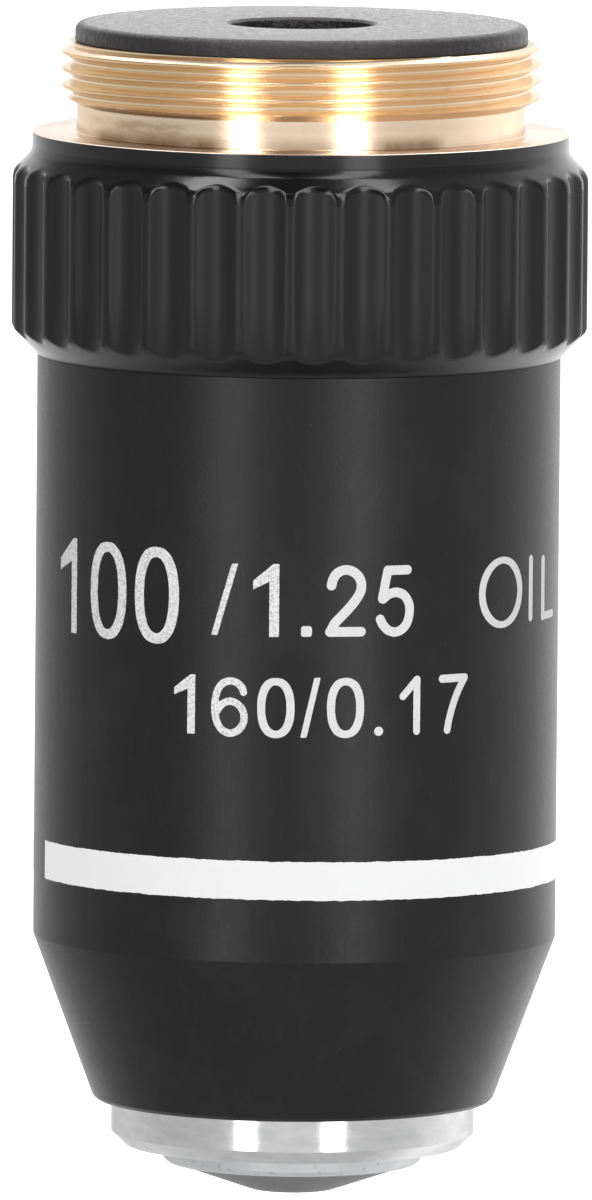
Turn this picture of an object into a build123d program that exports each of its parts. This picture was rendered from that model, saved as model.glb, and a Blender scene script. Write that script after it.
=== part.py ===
from build123d import *
import math
import os

# Microscope objective, 100x oil immersion class, spring loaded.
# Millimetres.  z = 0 is the mounting shoulder, +Z runs along the optical axis
# towards the mounting thread, the front lens is at the bottom.

# ---------------------------------------------------------------- mounting end
THREAD_R = 10.12          # major radius of the 0.8 inch, 36 per inch thread
THREAD_TOP = 3.85         # end of the threaded neck
THREAD_LEAD = (0.34, 0.22)    # lead-in at the end of the neck, across and down
THREAD_FOOT = 1.53        # thread starts to run out here
RELIEF_TOP = 1.20         # and the relief groove starts here
RELIEF_R = 9.48           # relief groove between thread and shoulder
RELIEF_ROUND = 0.12       # small hollow fillet between the relief and the seat
SEAT_R_OUT = 11.34        # edge of the shoulder
SEAT_R_IN = 10.26         # the seat starts outside the thread's crests,
SEAT_UNDERCUT = 0.04      # and inside that it is turned a hair lower
SEAT_EDGE = 0.06          # broken edge

# ------------------------------------------------------------------ fluted grip
NECK_FOOT = -0.60         # straight side under the shoulder ends here
COVE_MID = (11.389, -0.845)    # hollow fillet
COVE_END = (11.527, -1.053)
SLOPE_END = (11.88, -1.43)    # 45 degree slope
CREST_MID = (12.085, -1.66)   # rounded over into the lands
GRIP_R = 12.16            # over the lands
GRIP_TOP = -1.95
GRIP_FOOT = -8.29
GRIP_CHAMFER_R = 11.10    # lower bevel runs down to this radius
GRIP_CHAMFER_FOOT = -9.35
BODY_SPLIT = -9.41        # underside of the grip, top of the sleeve
FLUTES = 36
FLUTE_CUTTER_R = 1.40
FLUTE_DEPTH = 0.33
FLUTE_PHASE = 3.0         # degrees, first flute's centre from the -Y direction

# ------------------------------------------------------------- inside the mount
CAP_THREAD_R = 8.10       # rear cap screws into this bore
CAP_THREAD_FOOT = 1.50
CHAMBER_R = 7.95          # spring chamber
CHAMBER_FOOT = -12.50     # the lens tube's stop ring rests here
GUIDE_R = 6.95            # bore that the lens tube slides in
SPIGOT_R = 10.00          # the sleeve screws on here
SPIGOT_FOOT = -15.00
GUIDE_OUT_R = 8.90
GUIDE_FOOT = -30.00

# --------------------------------------------------------------------- rear cap
CAP_R = 9.56
CAP_TOP = 4.61
CAP_HOLE_R = 3.08
CAP_WEB_FOOT = 2.60
CAP_SKIRT_IN_R = 5.60
CAP_ROUND = 0.30

# ----------------------------------------------------------------- outer sleeve
SLEEVE_R = 11.06
SLEEVE_BORE_R = 10.00
SLEEVE_KNEE = -34.04      # cylinder turns into the cone
SLEEVE_INNER_KNEE = -33.40
NOSE_R = 8.50
NOSE_EDGE = -40.92
NOSE_ROUND = 0.15
NOSE_FOOT = -41.07
NOSE_BORE_R = 7.78
NOSE_BORE_TOP = -39.60

# ------------------------------------------------------------------- lens unit
TRAVEL = 2.00             # the lens unit is pushed in this far
TUBE_R = 6.90
TUBE_TOP = -9.30
TUBE_FOOT = -42.10
TUBE_BORE_R = 5.20
TUBE_STEP = -38.50        # larger bore for the front cell below this
CELL_R = 5.18
FRONT_CELL_R = 5.48
STOP_RING_R = 7.85
STOP_RING_TOP = -10.70
COLLAR_R = 7.70
COLLAR_TOP = -36.60
COLLAR_LIP_TOP = -42.10
COLLAR_FOOT = -43.01
COLLAR_BEVEL = 0.55
CELL_EDGE = -43.56        # front cell's straight side ends here
CELL_CONE_R = 5.02
CELL_CONE_TOP = -43.80
TIP_R = 1.78
TIP = -44.93
WELL_R = 4.00             # well in the front cell for the meniscus cell
WELL_FOOT = -42.20
BALL_R = 1.20             # hyperhemisphere
BALL_FACE_R = 1.00

# ---------------------------------------------------------------------- spring
WIRE = 0.90
COIL_R = 7.20
COILS = 5.0

# ---------------------------------------------------------------------- screws
GUIDE_SCREW_Z = -18.00
GUIDE_SCREW_R = 1.00
DOG_R = 0.65
SLOT_W = 1.40
SLOT_FLOOR_R = 6.10
CENTRING_Z = -29.40
CENTRING_R = 0.80


def turned(*pts):
    """One solid of revolution about Z from (radius, z) corners."""
    outline = Polyline(*[(r, 0, z) for r, z in pts], close=True)
    return revolve(make_face(outline.edges()), Axis.Z)


def turned_edges(edges):
    """One solid of revolution about Z from a closed loop of edges at y = 0."""
    return revolve(make_face(edges), Axis.Z)


def sag(radius, height):
    return radius - math.sqrt(radius * radius - height * height)


def lens(rim, z_low, z_high, r_low, r_high):
    """A lens of rim radius `rim`.  z_low and z_high are the two vertices.
    r_low / r_high are the face radii: 0 is flat, + bulges outwards, - is hollow."""

    def face(vertex, radius, outward):
        if radius == 0:
            return [Line((0, 0, vertex), (rim, 0, vertex))], vertex
        depth = sag(abs(radius), rim)
        mid = sag(abs(radius), rim / 2)
        way = -outward if radius > 0 else outward
        edge = vertex + way * depth
        arc = ThreePointArc(
            (0, 0, vertex), (rim / 2, 0, vertex + way * mid), (rim, 0, edge)
        )
        return [arc], edge

    low, e_low = face(z_low, r_low, -1)
    high, e_high = face(z_high, r_high, +1)
    side = Line((rim, 0, e_low), (rim, 0, e_high))
    axis = Line((0, 0, z_low), (0, 0, z_high))
    solid = turned_edges(low + [side] + high + [axis])
    return solid, e_low, e_high


parts = {}

# ------------------------------------------------------------------ mount_body
outline = [
    Line((CAP_THREAD_R, 0, THREAD_TOP), (THREAD_R - THREAD_LEAD[0], 0, THREAD_TOP)),
    Line(
        (THREAD_R - THREAD_LEAD[0], 0, THREAD_TOP),
        (THREAD_R, 0, THREAD_TOP - THREAD_LEAD[1]),
    ),
    Line((THREAD_R, 0, THREAD_TOP - THREAD_LEAD[1]), (THREAD_R, 0, THREAD_FOOT)),
    Line((THREAD_R, 0, THREAD_FOOT), (RELIEF_R, 0, RELIEF_TOP)),
    Line((RELIEF_R, 0, RELIEF_TOP), (RELIEF_R, 0, RELIEF_ROUND - SEAT_UNDERCUT)),
    ThreePointArc(
        (RELIEF_R, 0, RELIEF_ROUND - SEAT_UNDERCUT),
        (
            RELIEF_R + RELIEF_ROUND * (1 - math.sqrt(0.5)),
            0,
            RELIEF_ROUND * (1 - math.sqrt(0.5)) - SEAT_UNDERCUT,
        ),
        (RELIEF_R + RELIEF_ROUND, 0, -SEAT_UNDERCUT),
    ),
    Line((RELIEF_R + RELIEF_ROUND, 0, -SEAT_UNDERCUT), (SEAT_R_IN - SEAT_UNDERCUT, 0, -SEAT_UNDERCUT)),
    Line((SEAT_R_IN - SEAT_UNDERCUT, 0, -SEAT_UNDERCUT), (SEAT_R_IN, 0, 0)),
    Line((SEAT_R_IN, 0, 0), (SEAT_R_OUT - SEAT_EDGE, 0, 0)),
    Line((SEAT_R_OUT - SEAT_EDGE, 0, 0), (SEAT_R_OUT, 0, -SEAT_EDGE)),
    Line((SEAT_R_OUT, 0, -SEAT_EDGE), (SEAT_R_OUT, 0, NECK_FOOT)),
    ThreePointArc(
        (SEAT_R_OUT, 0, NECK_FOOT),
        (COVE_MID[0], 0, COVE_MID[1]),
        (COVE_END[0], 0, COVE_END[1]),
    ),
    Line((COVE_END[0], 0, COVE_END[1]), (SLOPE_END[0], 0, SLOPE_END[1])),
    ThreePointArc(
        (SLOPE_END[0], 0, SLOPE_END[1]),
        (CREST_MID[0], 0, CREST_MID[1]),
        (GRIP_R, 0, GRIP_TOP),
    ),
    Line((GRIP_R, 0, GRIP_TOP), (GRIP_R, 0, GRIP_FOOT)),
    Line((GRIP_R, 0, GRIP_FOOT), (GRIP_CHAMFER_R, 0, GRIP_CHAMFER_FOOT)),
    Line((GRIP_CHAMFER_R, 0, GRIP_CHAMFER_FOOT), (GRIP_CHAMFER_R, 0, BODY_SPLIT)),
    Line((GRIP_CHAMFER_R, 0, BODY_SPLIT), (SPIGOT_R, 0, BODY_SPLIT)),
    Line((SPIGOT_R, 0, BODY_SPLIT), (SPIGOT_R, 0, SPIGOT_FOOT)),
    Line((SPIGOT_R, 0, SPIGOT_FOOT), (GUIDE_OUT_R, 0, SPIGOT_FOOT - 0.60)),
    Line((GUIDE_OUT_R, 0, SPIGOT_FOOT - 0.60), (GUIDE_OUT_R, 0, GUIDE_FOOT)),
    Line((GUIDE_OUT_R, 0, GUIDE_FOOT), (GUIDE_R + 0.30, 0, GUIDE_FOOT)),
    Line((GUIDE_R + 0.30, 0, GUIDE_FOOT), (GUIDE_R, 0, GUIDE_FOOT + 0.30)),
    Line((GUIDE_R, 0, GUIDE_FOOT + 0.30), (GUIDE_R, 0, CHAMBER_FOOT)),
    Line((GUIDE_R, 0, CHAMBER_FOOT), (CHAMBER_R, 0, CHAMBER_FOOT)),
    Line((CHAMBER_R, 0, CHAMBER_FOOT), (CHAMBER_R, 0, CAP_THREAD_FOOT)),
    Line((CHAMBER_R, 0, CAP_THREAD_FOOT), (CAP_THREAD_R, 0, CAP_THREAD_FOOT)),
    Line((CAP_THREAD_R, 0, CAP_THREAD_FOOT), (CAP_THREAD_R, 0, THREAD_TOP)),
]
body = turned_edges(outline)

# flutes: round-bottomed grooves that run out on the flare and on the bevel
flute_axis_r = GRIP_R - FLUTE_DEPTH + FLUTE_CUTTER_R
flute_len = 9.0
cutters = []
for k in range(FLUTES):
    a = math.radians(-90 + FLUTE_PHASE + k * 360 / FLUTES)
    cutters.append(
        Pos(flute_axis_r * math.cos(a), flute_axis_r * math.sin(a), -0.7 - flute_len / 2)
        * Cylinder(FLUTE_CUTTER_R, flute_len)
    )
body = body - cutters

# tapped hole for the guide screw, at the back
wall = GUIDE_OUT_R - GUIDE_R
body = body - (
    Pos(0, GUIDE_OUT_R - wall / 2, GUIDE_SCREW_Z)
    * Rot(90, 0, 0)
    * Cylinder(GUIDE_SCREW_R, wall + 1.0)
)
parts["mount_body"] = body

# -------------------------------------------------------------------- rear_cap
cap = turned(
    (CAP_HOLE_R, CAP_TOP),
    (CAP_R, CAP_TOP),
    (CAP_R, THREAD_TOP),
    (CAP_THREAD_R, THREAD_TOP),
    (CAP_THREAD_R, CAP_THREAD_FOOT),
    (CAP_SKIRT_IN_R, CAP_THREAD_FOOT),
    (CAP_SKIRT_IN_R, CAP_WEB_FOOT),
    (CAP_HOLE_R, CAP_WEB_FOOT),
)
top_edges = cap.edges().filter_by(GeomType.CIRCLE).filter_by(
    lambda e: abs(e.center().Z - CAP_TOP) < 1e-3
)
cap = fillet(top_edges.sort_by(lambda e: e.radius)[-1], CAP_ROUND)
hole_edge = cap.edges().filter_by(GeomType.CIRCLE).filter_by(
    lambda e: abs(e.center().Z - CAP_TOP) < 1e-3 and e.radius < CAP_HOLE_R + 0.01
)
cap = chamfer(hole_edge, 0.12)
parts["rear_cap"] = cap

# ---------------------------------------------------------------- outer_sleeve
cone = math.hypot(SLEEVE_R - NOSE_R, SLEEVE_KNEE - NOSE_EDGE)
sleeve_edges = [
    Line((SLEEVE_BORE_R, 0, BODY_SPLIT), (SLEEVE_R - 0.08, 0, BODY_SPLIT)),
    Line((SLEEVE_R - 0.08, 0, BODY_SPLIT), (SLEEVE_R, 0, BODY_SPLIT - 0.08)),
    Line((SLEEVE_R, 0, BODY_SPLIT - 0.08), (SLEEVE_R, 0, SLEEVE_KNEE)),
    Line((SLEEVE_R, 0, SLEEVE_KNEE), (NOSE_R, 0, NOSE_EDGE)),
    ThreePointArc(
        (NOSE_R, 0, NOSE_EDGE),
        (NOSE_R - 0.045, 0, NOSE_EDGE - 0.105),
        (NOSE_R - 0.16, 0, NOSE_FOOT),
    ),
    Line((NOSE_R - 0.16, 0, NOSE_FOOT), (NOSE_BORE_R + 0.06, 0, NOSE_FOOT)),
    Line((NOSE_BORE_R + 0.06, 0, NOSE_FOOT), (NOSE_BORE_R, 0, NOSE_FOOT + 0.06)),
    Line((NOSE_BORE_R, 0, NOSE_FOOT + 0.06), (NOSE_BORE_R, 0, NOSE_BORE_TOP)),
    Line((NOSE_BORE_R, 0, NOSE_BORE_TOP), (SLEEVE_BORE_R, 0, SLEEVE_INNER_KNEE)),
    Line((SLEEVE_BORE_R, 0, SLEEVE_INNER_KNEE), (SLEEVE_BORE_R, 0, BODY_SPLIT)),
]
parts["outer_sleeve"] = turned_edges(sleeve_edges)

# ----------------------------------------------------------------- guide_screw
# grub screw with a dog point, driven through the wall at the back
screw_out = GUIDE_OUT_R - 0.10
dog_tip = SLOT_FLOOR_R + 0.10
screw = (
    Pos(0, (screw_out + GUIDE_R + 0.10) / 2, GUIDE_SCREW_Z)
    * Rot(90, 0, 0)
    * Cylinder(GUIDE_SCREW_R, screw_out - GUIDE_R - 0.10)
)
screw += (
    Pos(0, (dog_tip + GUIDE_R + 0.10) / 2, GUIDE_SCREW_Z)
    * Rot(90, 0, 0)
    * Cylinder(DOG_R, GUIDE_R + 0.10 - dog_tip)
)
screw -= Pos(0, screw_out, GUIDE_SCREW_Z) * Box(3, 1.0, 0.35)
parts["guide_screw"] = screw

# ----------------------------------------------------------------- load_spring
spring_low = TUBE_TOP + 0.02
spring_high = CAP_THREAD_FOOT - 0.02
spring_len = spring_high - spring_low
# open coils, the end turns ground flat on their seats
centre_low = spring_low + WIRE * 0.30
centre_high = spring_high - WIRE * 0.30
pitch = (centre_high - centre_low) / COILS
helix = Pos(0, 0, centre_low) * Helix(pitch, centre_high - centre_low, COIL_R)
section = Plane(origin=helix @ 0, z_dir=helix % 0) * Circle(WIRE / 2)
coil = sweep(section, path=helix, is_frenet=True)
ends = Pos(0, 0, (spring_low + spring_high) / 2) * Cylinder(COIL_R + WIRE, spring_len)
parts["load_spring"] = coil & ends

# ------------------------------------------------------------------- lens_tube
tube = turned(
    (TUBE_BORE_R, TUBE_TOP - 0.25),
    (TUBE_BORE_R + 0.25, TUBE_TOP),
    (TUBE_R - 0.20, TUBE_TOP),
    (TUBE_R, TUBE_TOP - 0.20),
    (TUBE_R, TUBE_FOOT),
    (FRONT_CELL_R, TUBE_FOOT),
    (FRONT_CELL_R, TUBE_STEP),
    (TUBE_BORE_R, TUBE_STEP),
)
slot_top = GUIDE_SCREW_Z + SLOT_W / 2 + 0.10
slot_foot = GUIDE_SCREW_Z - TRAVEL - SLOT_W / 2 - 0.10
tube -= Pos(0, SLOT_FLOOR_R + 1.0, (slot_top + slot_foot) / 2) * Box(
    SLOT_W, 2.0, slot_top - slot_foot
)
for k in range(3):
    tube -= (
        Rot(0, 0, 90 + 60 + 120 * k)
        * Pos((TUBE_R + TUBE_BORE_R) / 2, 0, CENTRING_Z)
        * Rot(0, 90, 0)
        * Cylinder(CENTRING_R, 3.0)
    )
parts["lens_tube"] = tube

# ---------------------------------------------------- stop ring and lock ring
ring = turned(
    (TUBE_R, STOP_RING_TOP),
    (STOP_RING_R, STOP_RING_TOP),
    (STOP_RING_R, CHAMBER_FOOT),
    (TUBE_R, CHAMBER_FOOT),
)
parts["parfocal_ring"] = ring
lock = turned(
    (TUBE_R, TUBE_TOP),
    (STOP_RING_R - 0.15, TUBE_TOP),
    (STOP_RING_R, TUBE_TOP - 0.15),
    (STOP_RING_R, STOP_RING_TOP),
    (TUBE_R, STOP_RING_TOP),
)
for k in range(2):
    lock -= Rot(0, 0, 180 * k) * Pos(TUBE_R + 0.9, 0, TUBE_TOP) * Box(1.2, 1.0, 1.0)
parts["lock_ring"] = lock

# ----------------------------------------------------------------- nose_collar
collar = turned(
    (TUBE_R, COLLAR_TOP),
    (COLLAR_R - 0.30, COLLAR_TOP),
    (COLLAR_R, COLLAR_TOP - 0.30),
    (COLLAR_R, COLLAR_FOOT + COLLAR_BEVEL),
    (COLLAR_R - COLLAR_BEVEL, COLLAR_FOOT),
    (FRONT_CELL_R + 0.03, COLLAR_FOOT),
    (FRONT_CELL_R + 0.03, COLLAR_LIP_TOP),
    (TUBE_R, COLLAR_LIP_TOP),
)
parts["nose_collar"] = collar

# ------------------------------------------------------------------ front_lens
ball_rise = math.sqrt(BALL_R**2 - BALL_FACE_R**2)
ball_z = TIP + ball_rise
front_lens = turned_edges(
    [
        Line((0, 0, TIP), (BALL_FACE_R, 0, TIP)),
        ThreePointArc(
            (BALL_FACE_R, 0, TIP), (BALL_R, 0, ball_z), (0, 0, ball_z + BALL_R)
        ),
        Line((0, 0, ball_z + BALL_R), (0, 0, TIP)),
    ]
)
parts["front_lens"] = front_lens

# ------------------------------------------------------------------ front_cell
edge_mid = (
    FRONT_CELL_R - 0.12,
    0,
    CELL_EDGE - 0.17,
)
seat_angle = math.radians(-20)
cell_edges = [
    Line((FRONT_CELL_R, 0, TUBE_STEP), (FRONT_CELL_R, 0, CELL_EDGE)),
    ThreePointArc(
        (FRONT_CELL_R, 0, CELL_EDGE), edge_mid, (CELL_CONE_R, 0, CELL_CONE_TOP)
    ),
    Line((CELL_CONE_R, 0, CELL_CONE_TOP), (TIP_R, 0, TIP)),
    Line((TIP_R, 0, TIP), (BALL_FACE_R, 0, TIP)),
    ThreePointArc(
        (BALL_FACE_R, 0, TIP),
        (BALL_R * math.cos(seat_angle), 0, ball_z + BALL_R * math.sin(seat_angle)),
        (BALL_R, 0, ball_z),
    ),
    Line((BALL_R, 0, ball_z), (BALL_R, 0, ball_z + 0.45)),
    Line((BALL_R, 0, ball_z + 0.45), (2.60, 0, WELL_FOOT)),
    Line((2.60, 0, WELL_FOOT), (WELL_R, 0, WELL_FOOT)),
    Line((WELL_R, 0, WELL_FOOT), (WELL_R, 0, TUBE_STEP)),
    Line((WELL_R, 0, TUBE_STEP), (FRONT_CELL_R, 0, TUBE_STEP)),
]
parts["front_cell"] = turned_edges(cell_edges)

# ---------------------------------------------------------- meniscus and cell
MEN_RIM = 2.30
men, men_low, men_high = lens(MEN_RIM, -41.35, -39.75, -3.60, 2.75)
parts["meniscus_lens"] = men
parts["meniscus_cell"] = turned(
    (MEN_RIM, TUBE_STEP - 0.60),
    (MEN_RIM + 0.60, TUBE_STEP),
    (WELL_R - 0.02, TUBE_STEP),
    (WELL_R - 0.02, WELL_FOOT),
    (MEN_RIM - 0.25, WELL_FOOT),
    (MEN_RIM - 0.25, men_low),
    (MEN_RIM, men_low),
)

# ------------------------------------------- first cemented doublet and its cell
A_FOOT, A_TOP, A_RIM = TUBE_STEP, -34.60, 3.30
a_crown, a_low, a_mid = lens(A_RIM, -37.70, -35.45, 6.80, 5.20)
parts["doublet_a_crown"] = a_crown
flint_edges = [
    ThreePointArc(
        (0, 0, -35.45),
        (A_RIM / 2, 0, -35.45 - sag(5.20, A_RIM / 2)),
        (A_RIM, 0, -35.45 - sag(5.20, A_RIM)),
    ),
    Line((A_RIM, 0, -35.45 - sag(5.20, A_RIM)), (A_RIM, 0, -34.85)),
    Line((A_RIM, 0, -34.85), (0, 0, -34.85)),
    Line((0, 0, -34.85), (0, 0, -35.45)),
]
parts["doublet_a_flint"] = turned_edges(flint_edges)
a_seat = -37.70 + sag(6.80, A_RIM - 0.30)    # the glass sits on the ledge's inner edge
parts["doublet_cell_a"] = turned(
    (A_RIM, A_TOP),
    (CELL_R, A_TOP),
    (CELL_R, A_FOOT),
    (A_RIM - 0.30, A_FOOT),
    (A_RIM - 0.30, a_seat),
    (A_RIM, a_seat),
)

# ----------------------------------------------------------------- spacer_ring
S_TOP = -31.50
parts["spacer_ring"] = turned(
    (A_RIM - 0.35, A_TOP),
    (CELL_R, A_TOP),
    (CELL_R, S_TOP),
    (A_RIM + 0.40, S_TOP),
    (A_RIM + 0.40, A_TOP + 0.60),
    (A_RIM - 0.35, A_TOP + 0.60),
)

# ------------------------------------------ second cemented doublet and its cell
B_FOOT, B_TOP, B_RIM, B_CELL_R = S_TOP, -27.40, 3.50, 4.90
b_crown, b_low, b_mid = lens(B_RIM, -30.55, -28.35, 8.60, 6.20)
parts["doublet_b_crown"] = b_crown
flint_edges = [
    ThreePointArc(
        (0, 0, -28.35),
        (B_RIM / 2, 0, -28.35 - sag(6.20, B_RIM / 2)),
        (B_RIM, 0, -28.35 - sag(6.20, B_RIM)),
    ),
    Line((B_RIM, 0, -28.35 - sag(6.20, B_RIM)), (B_RIM, 0, -27.65)),
    Line((B_RIM, 0, -27.65), (0, 0, -27.65)),
    Line((0, 0, -27.65), (0, 0, -28.35)),
]
parts["doublet_b_flint"] = turned_edges(flint_edges)
b_seat = -30.55 + sag(8.60, B_RIM - 0.30)
parts["doublet_cell_b"] = turned(
    (B_RIM, B_TOP),
    (B_CELL_R, B_TOP),
    (B_CELL_R, B_FOOT),
    (B_RIM - 0.30, B_FOOT),
    (B_RIM - 0.30, b_seat),
    (B_RIM, b_seat),
)

# ------------------------------------------------------------- centring_screws
screws = []
for k in range(3):
    grub = Cylinder(CENTRING_R, TUBE_R - 0.15 - B_CELL_R)
    grub -= Pos(0, 0, (TUBE_R - 0.15 - B_CELL_R) / 2) * Box(2.0, 0.30, 0.8)
    screws.append(
        Rot(0, 0, 90 + 60 + 120 * k)
        * Pos((TUBE_R - 0.15 + B_CELL_R) / 2, 0, CENTRING_Z)
        * Rot(0, 90, 0)
        * grub
    )
parts["centring_screws"] = Compound(children=[s.solid() for s in screws])

# ---------------------------------------------- spacer tube, stop, retaining ring
STOP_Z, RETAIN_Z, RETAIN_TOP = -14.80, -14.30, -12.80
parts["spacer_tube"] = turned(
    (B_RIM - 0.35, B_TOP),
    (CELL_R, B_TOP),
    (CELL_R, STOP_Z),
    (4.25, STOP_Z),
    (4.25, B_TOP + 0.80),
    (B_RIM - 0.35, B_TOP + 0.80),
)
parts["aperture_stop"] = turned(
    (2.30, STOP_Z),
    (CELL_R, STOP_Z),
    (CELL_R, RETAIN_Z),
    (2.60, RETAIN_Z),
    (2.30, STOP_Z + 0.15),
)
keeper = turned(
    (3.60, RETAIN_Z),
    (TUBE_BORE_R, RETAIN_Z),
    (TUBE_BORE_R, RETAIN_TOP),
    (3.60, RETAIN_TOP),
)
for k in range(2):
    keeper -= Rot(0, 0, 180 * k) * Pos(4.4, 0, RETAIN_TOP) * Box(1.8, 0.9, 1.0)
parts["retaining_ring"] = keeper

# ------------------------------------------------------------------------ write
os.makedirs("parts", exist_ok=True)
for name, shape in parts.items():
    export_step(shape, f"parts/{name}.step")
    print(name, len(shape.solids()), round(shape.volume, 3))
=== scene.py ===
import math

import bpy
import numpy as np
from mathutils import Matrix, Vector


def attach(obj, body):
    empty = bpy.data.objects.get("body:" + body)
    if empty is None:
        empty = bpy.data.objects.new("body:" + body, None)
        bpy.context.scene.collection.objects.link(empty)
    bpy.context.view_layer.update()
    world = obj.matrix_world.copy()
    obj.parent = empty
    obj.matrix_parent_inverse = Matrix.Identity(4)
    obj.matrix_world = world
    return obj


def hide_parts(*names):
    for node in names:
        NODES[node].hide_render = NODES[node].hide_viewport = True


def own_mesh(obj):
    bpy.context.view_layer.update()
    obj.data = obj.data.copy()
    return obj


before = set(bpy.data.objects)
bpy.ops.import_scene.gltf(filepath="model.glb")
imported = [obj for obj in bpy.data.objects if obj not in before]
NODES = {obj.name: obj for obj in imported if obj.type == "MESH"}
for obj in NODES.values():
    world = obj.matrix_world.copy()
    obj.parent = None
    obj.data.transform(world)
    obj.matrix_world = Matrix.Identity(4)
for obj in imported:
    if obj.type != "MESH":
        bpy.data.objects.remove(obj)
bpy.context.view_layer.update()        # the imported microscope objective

MM = 0.001
SCENE = bpy.context.scene

# ------------------------------------------------------------ sizes, millimetres
THREAD_R, THREAD_TOP, THREAD_LEAD = 10.12, 3.85, (0.34, 0.22)
THREAD_FOOT, RELIEF_TOP, RELIEF_R, RELIEF_ROUND = 1.53, 1.20, 9.48, 0.05
PITCH = 25.4 / 36
THREAD_FLAT = 0.110            # truncated crest
THREAD_ROUND = 0.085           # rounded root
THREAD_PHASE_Z = 1.94          # a crest's height on the -X side
SEAT_R_OUT, SEAT_EDGE = 11.34, 0.06
NECK_FOOT = -0.60
COVE_MID, COVE_END = (11.389, -0.845), (11.527, -1.053)
SLOPE_END, CREST_MID = (11.88, -1.43), (12.085, -1.66)
GRIP_R, GRIP_TOP, GRIP_FOOT = 12.16, -1.95, -8.29
GRIP_CHAMFER_R, GRIP_CHAMFER_FOOT, BODY_SPLIT = 11.10, -9.35, -9.41
FLUTES, CUTTER_R, FLUTE_DEPTH, FLUTE_PHASE = 36, 1.40, 0.33, 3.0
CUTTER_AXIS_R = GRIP_R - FLUTE_DEPTH + CUTTER_R
SPIGOT_R, SPIGOT_FOOT, GUIDE_OUT_R = 10.0, -15.0, 8.90
GUIDE_R, GUIDE_FOOT, CHAMBER_R, CHAMBER_FOOT = 6.95, -30.0, 7.95, -12.5
CAP_THREAD_R, CAP_THREAD_FOOT = 8.10, 1.50
CAP_R, CAP_TOP, CAP_HOLE_R, CAP_WEB_FOOT, CAP_SKIRT_IN_R = 9.56, 4.61, 3.08, 2.60, 5.60
SLEEVE_R, SLEEVE_BORE_R, KNEE, INNER_KNEE = 11.06, 10.0, -34.04, -33.40
NOSE_R, NOSE_EDGE, NOSE_FOOT, NOSE_BORE_R, NOSE_BORE_TOP = 8.50, -40.92, -41.07, 7.78, -39.60
TUBE_R, FRONT_CELL_R = 6.90, 5.48
COLLAR_R, COLLAR_TOP, LIP_TOP, COLLAR_FOOT, COLLAR_BEVEL = 7.70, -36.60, -42.10, -43.01, 0.55
CELL_EDGE, CONE_R, CONE_TOP, TIP_R, TIP = -43.56, 5.02, -43.80, 1.78, -44.93
TUBE_STEP, WELL_R, WELL_FOOT = -38.50, 4.00, -42.20
BALL_R, BALL_FACE_R = 1.20, 1.00
WIRE, COIL_R, COILS, SPRING_LOW, SPRING_HIGH = 0.90, 7.20, 5.0, -9.28, 1.48


# ================================================================ mesh helpers
def build(name, verts, faces, materials, index=None, sharp=28.0):
    """A smooth-shaded object from vertices in millimetres."""
    me = bpy.data.meshes.new(name)
    me.from_pydata((np.asarray(verts, float) * MM).tolist(), [], [list(f) for f in faces])
    me.update()
    for m in materials:
        me.materials.append(m)
    me.polygons.foreach_set("use_smooth", [True] * len(me.polygons))
    if index is not None:
        me.polygons.foreach_set("material_index", list(index))
    me.set_sharp_from_angle(angle=math.radians(sharp))
    me.validate()
    ob = bpy.data.objects.new(name, me)
    SCENE.collection.objects.link(ob)
    return ob


def loop_area(pts):
    p = np.asarray(pts, float)
    q = np.roll(p, -1, axis=0)
    return 0.5 * float(np.sum(p[:, 0] * q[:, 1] - q[:, 0] * p[:, 1]))


def rounded(corners, seg=4):
    """A closed (radius, z) outline with each corner (r, z, fillet) rounded."""
    out = []
    n = len(corners)
    for i, c in enumerate(corners):
        r, z = c[0], c[1]
        f = c[2] if len(c) > 2 else 0.0
        if f <= 0:
            out.append((r, z))
            continue
        p = np.array([r, z])
        a = np.array(corners[i - 1][:2], float) - p
        b = np.array(corners[(i + 1) % n][:2], float) - p
        la, lb = np.linalg.norm(a), np.linalg.norm(b)
        a, b = a / la, b / lb
        ang = math.acos(max(-1, min(1, float(a @ b))))
        t = min(f / math.tan(ang / 2), 0.45 * la, 0.45 * lb)
        rad = t * math.tan(ang / 2)
        mid = (a + b) / np.linalg.norm(a + b)
        centre = p + mid * (rad / math.sin(ang / 2))
        s, e = p + a * t - centre, p + b * t - centre
        a0, a1 = math.atan2(s[1], s[0]), math.atan2(e[1], e[0])
        d = (a1 - a0 + math.pi) % (2 * math.pi) - math.pi
        for k in range(seg + 1):
            w = a0 + d * k / seg
            out.append((centre[0] + rad * math.cos(w), centre[1] + rad * math.sin(w)))
    return out


def lathe(name, outline, materials, zone=None, n=360, sharp=28.0, columns=None):
    """Turns a closed (radius, z) outline about Z. Points at radius 0 become poles.
    zone(r, z) gives the material index of a face from its outline edge's middle."""
    pts = list(outline)
    if loop_area(pts) < 0:
        pts = pts[::-1]
    ang = np.linspace(0, 2 * math.pi, n, endpoint=False) if columns is None else columns
    n = len(ang)
    verts, start = [], []
    for r, z in pts:
        start.append(len(verts))
        if r < 1e-9:
            verts.append((0.0, 0.0, z))
        else:
            verts.extend(zip(r * np.cos(ang), r * np.sin(ang), [z] * n))
    faces, index = [], []
    m = len(pts)
    for i in range(m):
        k = (i + 1) % m
        a, b = start[i], start[k]
        pa, pb = pts[i][0] < 1e-9, pts[k][0] < 1e-9
        if pa and pb:
            continue
        which = zone((pts[i][0] + pts[k][0]) / 2, (pts[i][1] + pts[k][1]) / 2) if zone else 0
        for j in range(n):
            l = (j + 1) % n
            if pa:
                faces.append((a, b + l, b + j))
            elif pb:
                faces.append((a + j, a + l, b))
            else:
                faces.append((a + j, a + l, b + l, b + j))
            index.append(which)
    return build(name, verts, faces, materials, index, sharp)


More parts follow.
